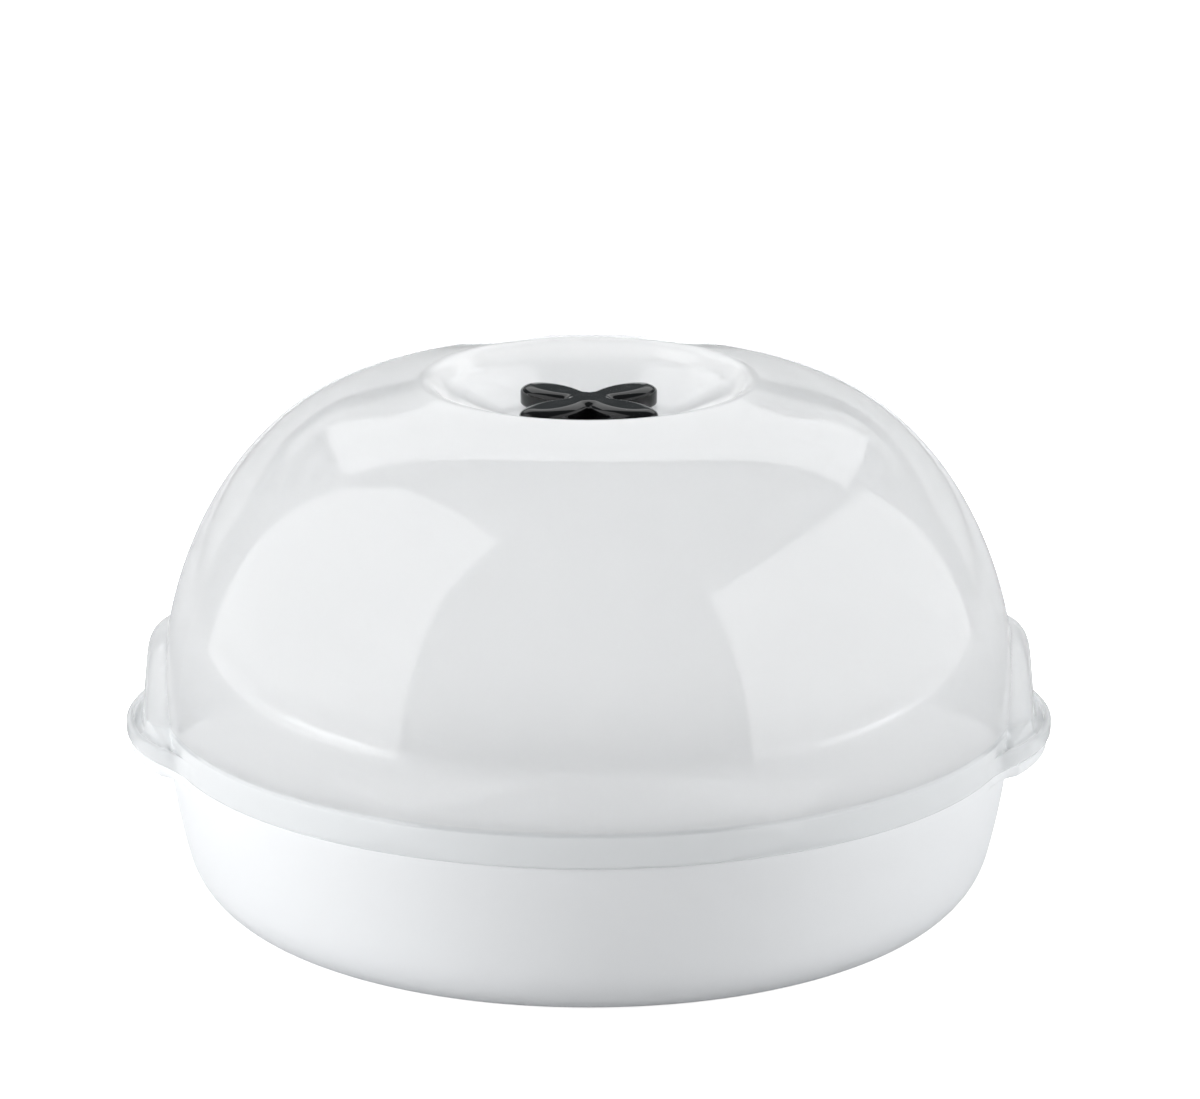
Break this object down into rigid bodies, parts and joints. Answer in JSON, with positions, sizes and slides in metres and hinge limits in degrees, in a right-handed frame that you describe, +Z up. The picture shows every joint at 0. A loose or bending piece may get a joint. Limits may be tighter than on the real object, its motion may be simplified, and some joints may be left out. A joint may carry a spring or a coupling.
{
  "type": "microwave sterilizer",
  "caption": "Round microwave steam sterilizer: water bowl with a lift-out bottle rack under a milky dome lid with side handle ears and a turning petal vent knob.",
  "frame": {"origin": "on the ground under the middle of the bowl's foot", "axes": "+Z up through the vent knob; the handle ears lie on +X and -X; the user stands at -Y"},
  "size_m": [0.276, 0.2544, 0.1579],
  "materials": {
    "bowl_white": "opaque white polypropylene, satin gloss",
    "lid_milky": "milky translucent polypropylene, glossy",
    "knob_black": "black, high gloss",
    "silicone": "clear grey silicone",
    "vent_white": "white, moulded",
    "rack_white": "white polypropylene, fine satin"
  },
  "bodies": {
    "bowl": {"base_bowl": "bowl_white"},
    "tray": {"steam_tray": "rack_white", "centre_column": "rack_white", "lifting_grip": "rack_white"},
    "teats": {"teat_rack": "rack_white"},
    "lid": {"lid_dome": "lid_milky", "knob_seal": "silicone"},
    "vent": {"vent_knob": "knob_black", "vent_shutter": "vent_white", "friction_washer": "silicone", "stem_clip": "vent_white"}
  },
  "joints": [
    {"name": "tray_lift", "type": "slide", "parent": "bowl", "child": "tray", "axis": [0, 0, 1], "range_m": [0, 0.07]},
    {"name": "teat_rack_lift", "type": "slide", "parent": "tray", "child": "teats", "axis": [0, 0, 1], "range_m": [0, 0.05]},
    {"name": "lid_lift", "type": "slide", "parent": "teats", "child": "lid", "axis": [0, 0, 1], "range_m": [0, 0.11]},
    {"name": "vent_turn", "type": "hinge", "parent": "lid", "child": "vent", "pos_m": [0, 0, 0.145], "axis": [0, 0, 1], "range_deg": [0, 45]}
  ]
}
